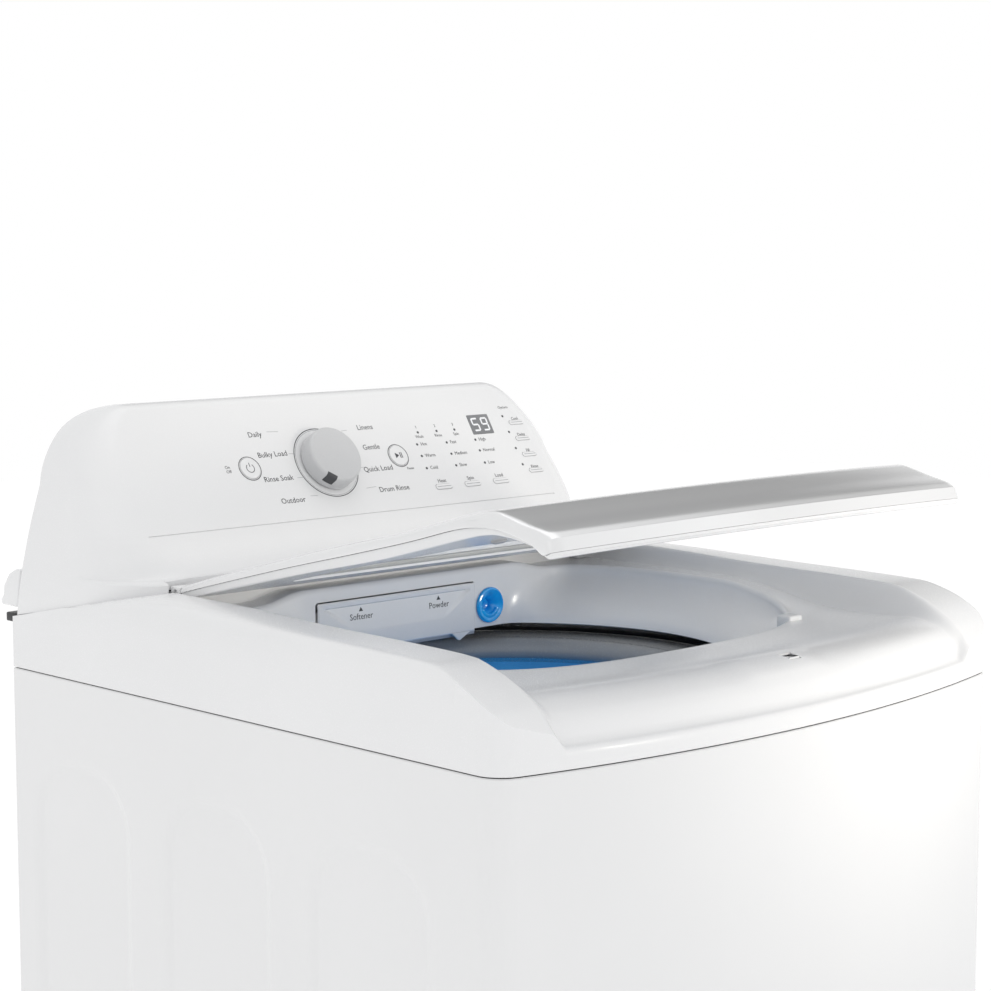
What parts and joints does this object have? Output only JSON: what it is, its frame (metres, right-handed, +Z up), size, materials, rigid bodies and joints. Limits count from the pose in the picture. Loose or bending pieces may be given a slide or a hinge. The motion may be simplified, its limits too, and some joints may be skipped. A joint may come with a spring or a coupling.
{
  "type": "top load washing machine",
  "caption": "Tall white cabinet washer with a bowed front, a raised control console at the back and a glass-windowed lid that swings up over a round wash basket.",
  "frame": {"origin": "on the floor under the middle of the machine", "axes": "+Z up, -Y out of the front, +X to the right seen from the front"},
  "size_m": [0.686, 0.762, 1.13],
  "materials": {
    "enamel": "gloss enamel",
    "plastic": "gloss",
    "grey": "satin",
    "ring": "gloss",
    "tub": "satin",
    "blue": "gloss",
    "steel": "bright brushed",
    "zinc": "zinc plated",
    "alloy": "as cast",
    "black": "satin",
    "rubber": "matt",
    "glass": "clear",
    "board": "satin"
  },
  "bodies": {
    "cabinet": {"cabinet_shell": "enamel", "rear_panel": "zinc", "base_frame": "grey", "foot_front_left": "rubber", "foot_front_right": "rubber", "foot_rear_left": "rubber", "foot_rear_right": "rubber", "top_cover": "plastic", "console_housing": "plastic", "console_rear_cover": "grey", "display_window": "grey", "control_board": "board", "inlet_hood": "plastic", "inlet_valve": "black", "dispenser_housing": "grey", "spray_nozzle": "blue", "drain_port": "black", "power_gland": "black", "lid_lock": "grey", "hinge_bracket_left": "grey", "hinge_bracket_right": "grey", "suspension_rod_1": "zinc", "suspension_rod_2": "zinc", "suspension_rod_3": "zinc", "suspension_rod_4": "zinc"},
    "lid": {"lid_top": "plastic", "lid_liner": "plastic", "lid_window": "glass", "lid_bumper_left": "grey", "lid_bumper_right": "grey", "hinge_pin_left": "zinc", "hinge_pin_right": "zinc", "lid_strike": "grey"},
    "knob": {"dial_knob": "grey"},
    "drawer": {"dispenser_drawer": "plastic"},
    "tub": {"outer_tub": "tub", "tub_ring": "tub", "drive_housing": "alloy", "drain_pump": "black", "suspension_cup_1": "black", "suspension_cup_2": "black", "suspension_cup_3": "black", "suspension_cup_4": "black"},
    "basket": {"basket": "steel", "balance_ring": "ring", "basket_hub": "alloy"},
    "agitator": {"agitator": "tub", "agitator_cap": "blue", "drive_shaft": "zinc", "motor_rotor": "alloy"},
    "power_button": {"power_button": "plastic"},
    "start_button": {"start_button": "plastic"},
    "temp_key": {"temp_key": "plastic"},
    "spin_key": {"spin_key": "plastic"},
    "soil_key": {"soil_key": "plastic"},
    "option_key_1": {"option_key_1": "plastic"},
    "option_key_2": {"option_key_2": "plastic"},
    "option_key_3": {"option_key_3": "plastic"},
    "option_key_4": {"option_key_4": "plastic"}
  },
  "joints": [
    {"name": "lid_hinge", "type": "hinge", "parent": "cabinet", "child": "lid", "pos_m": [0, 0.154, 0.957], "axis": [-1, 0, 0], "range_deg": [-15, 78]},
    {"name": "knob_turn", "type": "hinge", "parent": "cabinet", "child": "knob", "pos_m": [-0.028, 0.23517, 1.06009], "axis": [0, -0.848, 0.5299], "continuous": true},
    {"name": "drawer_slide", "type": "slide", "parent": "cabinet", "child": "drawer", "axis": [0, -1, 0], "range_m": [0, 0.09]},
    {"name": "power_button_press", "type": "slide", "parent": "cabinet", "child": "power_button", "axis": [0, 0.848, -0.5299], "range_m": [0, 0.0015], "stiffness_N_per_m": 600},
    {"name": "start_button_press", "type": "slide", "parent": "cabinet", "child": "start_button", "axis": [0, 0.848, -0.5299], "range_m": [0, 0.0015], "stiffness_N_per_m": 600},
    {"name": "temp_key_press", "type": "slide", "parent": "cabinet", "child": "temp_key", "axis": [0, 0.848, -0.5299], "range_m": [0, 0.0015], "stiffness_N_per_m": 600},
    {"name": "spin_key_press", "type": "slide", "parent": "cabinet", "child": "spin_key", "axis": [0, 0.848, -0.5299], "range_m": [0, 0.0015], "stiffness_N_per_m": 600},
    {"name": "soil_key_press", "type": "slide", "parent": "cabinet", "child": "soil_key", "axis": [0, 0.848, -0.5299], "range_m": [0, 0.0015], "stiffness_N_per_m": 600},
    {"name": "option_key_1_press", "type": "slide", "parent": "cabinet", "child": "option_key_1", "axis": [0, 0.848, -0.5299], "range_m": [0, 0.0015], "stiffness_N_per_m": 600},
    {"name": "option_key_2_press", "type": "slide", "parent": "cabinet", "child": "option_key_2", "axis": [0, 0.848, -0.5299], "range_m": [0, 0.0015], "stiffness_N_per_m": 600},
    {"name": "option_key_3_press", "type": "slide", "parent": "cabinet", "child": "option_key_3", "axis": [0, 0.848, -0.5299], "range_m": [0, 0.0015], "stiffness_N_per_m": 600},
    {"name": "option_key_4_press", "type": "slide", "parent": "cabinet", "child": "option_key_4", "axis": [0, 0.848, -0.5299], "range_m": [0, 0.0015], "stiffness_N_per_m": 600},
    {"name": "tub_float", "type": "slide", "parent": "cabinet", "child": "tub", "axis": [0, 0, 1], "range_m": [-0.025, 0.005], "stiffness_N_per_m": 16000, "springref_m": 0.0168},
    {"name": "basket_spin", "type": "hinge", "parent": "tub", "child": "basket", "pos_m": [0, -0.014, 0.4], "axis": [0, 0, 1], "continuous": true},
    {"name": "agitator_turn", "type": "hinge", "parent": "tub", "child": "agitator", "pos_m": [0, -0.014, 0.4], "axis": [0, 0, 1], "continuous": true}
  ]
}
